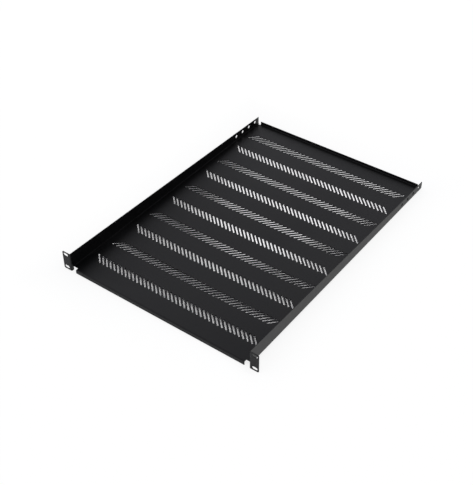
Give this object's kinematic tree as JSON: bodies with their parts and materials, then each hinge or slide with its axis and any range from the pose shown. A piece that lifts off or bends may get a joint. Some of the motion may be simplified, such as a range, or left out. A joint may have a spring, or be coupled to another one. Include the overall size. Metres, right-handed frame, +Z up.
{
  "type": "rack shelf",
  "caption": "One-unit fixed shelf for a 19-inch rack: a folded, vented steel tray with tapering side walls and two slotted ears.",
  "frame": {"origin": "on the plane of the ears' lower edges, midway between left and right and between front and rear", "axes": "+X across the rack to the right, +Y from the ears towards the rear, +Z up"},
  "size_m": [0.4826, 0.65, 0.044],
  "materials": {
    "powder_coat": "black fine-texture powder coat"
  },
  "bodies": {
    "root": {"shelf_tray": "powder_coat"}
  },
  "joints": []
}
